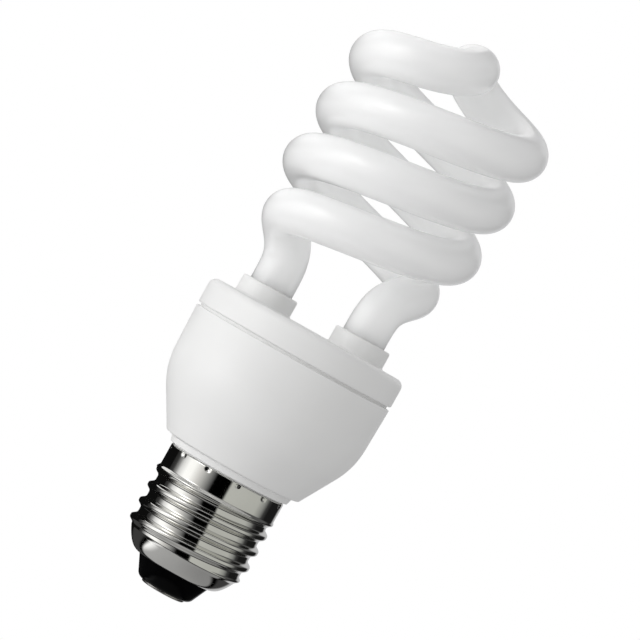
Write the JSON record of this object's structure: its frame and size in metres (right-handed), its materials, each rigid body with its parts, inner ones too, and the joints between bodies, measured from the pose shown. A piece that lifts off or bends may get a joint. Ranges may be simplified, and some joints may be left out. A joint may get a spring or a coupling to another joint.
{
  "type": "spiral energy saving bulb",
  "caption": "Compact fluorescent bulb: a white glass tube wound as a double spiral on a round plastic ballast housing with an Edison screw cap.",
  "frame": {"origin": "centre of the end contact's flat face, on the screw cap's axis", "axes": "+Z along the cap's axis towards the spiral, +X towards the side that the spiral leans to, with both tube legs on the X axis"},
  "size_m": [0.0481, 0.0473, 0.1278],
  "materials": {
    "tube_glass": "glossy glass over a white powder lining",
    "white_plastic": "satin moulded",
    "nickel": "bright nickel plate",
    "black_glass": "glossy opaque",
    "contact_metal": "worn bright metal",
    "cement": "matte sealant",
    "board": "resin paper laminate",
    "solder": "bright solder",
    "tinned_wire": "tinned wire",
    "ferrite": "fired ferrite",
    "copper": "enamelled copper wire",
    "bobbin_plastic": "moulded",
    "can_sleeve": "shrink sleeve",
    "film_resin": "dipped resin",
    "black_resin": "moulded resin",
    "resistor_paint": "lacquer",
    "trigger_glass": "small glass bead"
  },
  "bodies": {
    "root": {"spiral_tube": "tube_glass", "lower_housing": "white_plastic", "top_cover": "white_plastic", "cap_shell": "nickel", "cap_insulator": "black_glass", "centre_contact": "contact_metal", "leg_cement_left": "cement", "leg_cement_right": "cement", "circuit_board": "board", "solder_joints": "solder", "choke_pins": "tinned_wire", "wrap_posts": "tinned_wire", "shell_wire": "tinned_wire", "filament_lead_left_front": "tinned_wire", "filament_lead_left_back": "tinned_wire", "filament_lead_right_front": "tinned_wire", "filament_lead_right_back": "tinned_wire", "choke_core": "ferrite", "ring_core": "ferrite", "filter_choke_core": "ferrite", "choke_winding": "copper", "ring_windings": "copper", "filter_choke_winding": "copper", "choke_bobbin": "bobbin_plastic", "bulk_capacitor": "can_sleeve", "start_capacitor": "film_resin", "blocking_capacitor": "film_resin", "transistor_low": "black_resin", "transistor_high": "black_resin", "diode_1": "black_resin", "diode_2": "black_resin", "diode_3": "black_resin", "diode_4": "black_resin", "resistor_1": "resistor_paint", "resistor_2": "resistor_paint", "resistor_3": "resistor_paint", "resistor_4": "resistor_paint", "fuse_resistor": "resistor_paint", "trigger_diode": "trigger_glass"}
  },
  "joints": []
}
